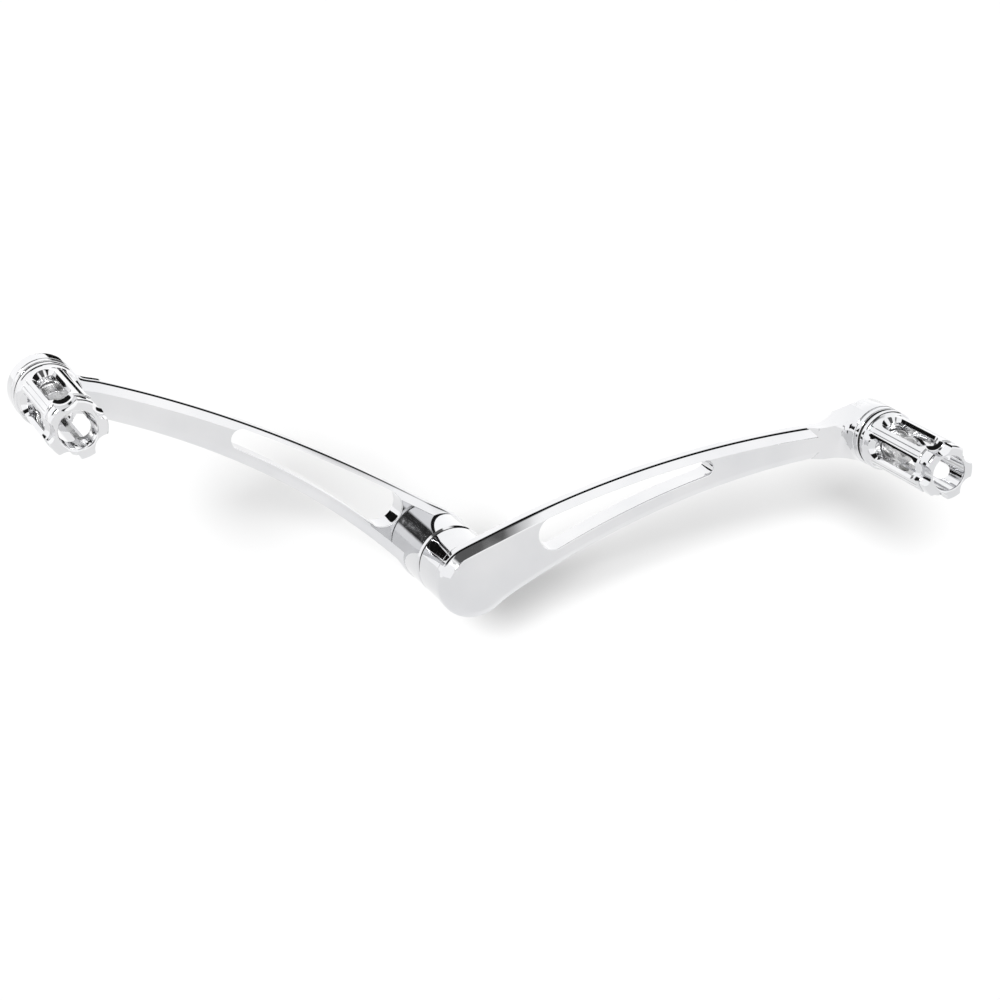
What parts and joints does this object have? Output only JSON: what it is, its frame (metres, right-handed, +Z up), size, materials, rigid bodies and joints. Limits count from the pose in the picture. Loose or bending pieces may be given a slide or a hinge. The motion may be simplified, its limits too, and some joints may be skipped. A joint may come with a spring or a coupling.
{
  "type": "gear shift lever",
  "caption": "Heel-and-toe motorcycle shift lever: slotted arms clamped back to back on a splined hub, each with a windowed, scalloped foot peg bolted to its end.",
  "frame": {"origin": "on the shift shaft's axis, at the inboard face of the toe lever's hub", "axes": "+X to the rear of the motorcycle (heel side), -Y outboard along the shift shaft, +Z up"},
  "size_m": [0.3929, 0.1264, 0.1315],
  "materials": {
    "polished_chrome": "mirror-polished chrome plating on billet aluminium",
    "fastener_steel": "bright zinc-plated steel",
    "black_rubber": "black nitrile rubber"
  },
  "bodies": {
    "toe_lever": {"toe_arm": "polished_chrome", "toe_thread_insert": "fastener_steel", "toe_pinch_washer": "fastener_steel", "toe_pinch_bolt": "fastener_steel", "hub_rubber_ring": "black_rubber"},
    "toe_peg": {"toe_peg_spacer": "polished_chrome", "toe_peg_rubber_ring": "black_rubber", "toe_peg_barrel": "polished_chrome", "toe_peg_lock_washer": "fastener_steel", "toe_peg_flat_washer": "fastener_steel", "toe_peg_bolt": "fastener_steel"},
    "heel_lever": {"heel_arm": "polished_chrome", "heel_thread_insert": "fastener_steel", "heel_pinch_washer": "fastener_steel", "heel_pinch_bolt": "fastener_steel"},
    "heel_peg": {"heel_peg_spacer": "polished_chrome", "heel_peg_rubber_ring": "black_rubber", "heel_peg_barrel": "polished_chrome", "heel_peg_lock_washer": "fastener_steel", "heel_peg_flat_washer": "fastener_steel", "heel_peg_bolt": "fastener_steel"}
  },
  "joints": [
    {"name": "heel_lever_clocking", "type": "hinge", "parent": "toe_lever", "child": "heel_lever", "pos_m": [0, -0.0286, 0], "axis": [0, -1, 0], "range_deg": [-30, 30]},
    {"name": "toe_peg_turn", "type": "hinge", "parent": "toe_lever", "child": "toe_peg", "pos_m": [-0.17283, -0.0113, 0.0958], "axis": [0, -1, 0], "continuous": true},
    {"name": "heel_peg_turn", "type": "hinge", "parent": "heel_lever", "child": "heel_peg", "pos_m": [0.19206, -0.07, 0.04646], "axis": [0, -1, 0], "continuous": true}
  ]
}
